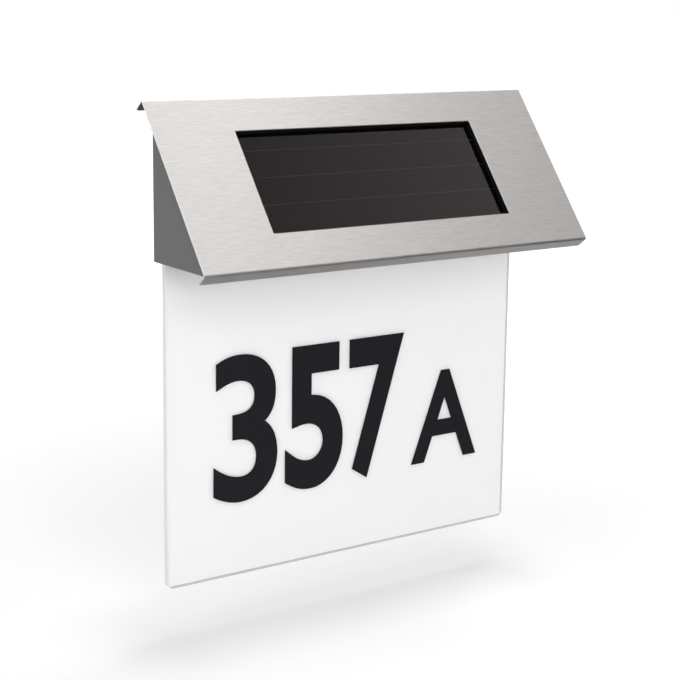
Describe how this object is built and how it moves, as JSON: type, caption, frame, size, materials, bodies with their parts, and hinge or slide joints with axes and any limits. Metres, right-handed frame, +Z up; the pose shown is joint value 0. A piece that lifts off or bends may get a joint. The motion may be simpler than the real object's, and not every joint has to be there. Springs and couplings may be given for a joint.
{
  "type": "illuminated house number sign",
  "caption": "Wall-hung solar house number sign: sloped steel hood over a lamp head with a panel, battery and lamps, and a frosted number plate below.",
  "frame": {"origin": "on the wall plane, midway between the round ends of the two hanging holes in the rear cover", "axes": "+X to the right as the sign is read, +Z up, +Y into the wall; the front faces -Y"},
  "size_m": [0.2, 0.0562, 0.2077],
  "materials": {
    "brushed_stainless": "brushed along its width",
    "foam_tape": "matte",
    "housing_plastic": "fine moulded grain",
    "seal_rubber": "matte",
    "cover_glass": "clear gloss",
    "solar_cell": "dark brown gloss",
    "panel_board": "gloss",
    "zinc_screw": "bright",
    "frosted_acrylic": "satin frosted",
    "white_plastic": "matte",
    "circuit_board": "solder mask",
    "led_lens": "gloss",
    "battery_sleeve": "gloss",
    "nickel_contact": "bright",
    "component_plastic": "matte",
    "switch_plastic": "matte"
  },
  "bodies": {
    "housing": {"hood_cover": "brushed_stainless", "hood_tape": "foam_tape", "front_housing": "housing_plastic", "panel_gasket": "seal_rubber", "solar_cover_glass": "cover_glass", "solar_cells": "solar_cell", "solar_panel_base": "panel_board", "panel_clips": "housing_plastic", "panel_clip_screws": "zinc_screw", "rear_cover": "housing_plastic", "housing_seal": "seal_rubber", "housing_screws": "zinc_screw", "plate_holder": "white_plastic", "plate_pads": "seal_rubber", "led_board": "circuit_board", "leds": "led_lens", "holder_screws": "zinc_screw", "battery_cell": "battery_sleeve", "battery_contact_plate": "nickel_contact", "battery_contact_spring": "nickel_contact", "control_board": "circuit_board", "control_board_screws": "zinc_screw", "board_components": "component_plastic", "switch_body": "component_plastic"},
    "plate": {"number_plate": "frosted_acrylic"},
    "lid": {"battery_lid": "housing_plastic", "battery_lid_seal": "seal_rubber", "battery_lid_screws": "zinc_screw"},
    "slider": {"switch_slider": "switch_plastic"}
  },
  "joints": [
    {"name": "plate_pull", "type": "slide", "parent": "housing", "child": "plate", "axis": [0, 0, -1], "range_m": [0, 0.0125]},
    {"name": "lid_lift", "type": "slide", "parent": "housing", "child": "lid", "axis": [0, 1, 0], "range_m": [0, 0.015]},
    {"name": "switch_slide", "type": "slide", "parent": "housing", "child": "slider", "axis": [1, 0, 0], "range_m": [0, 0.004]}
  ]
}
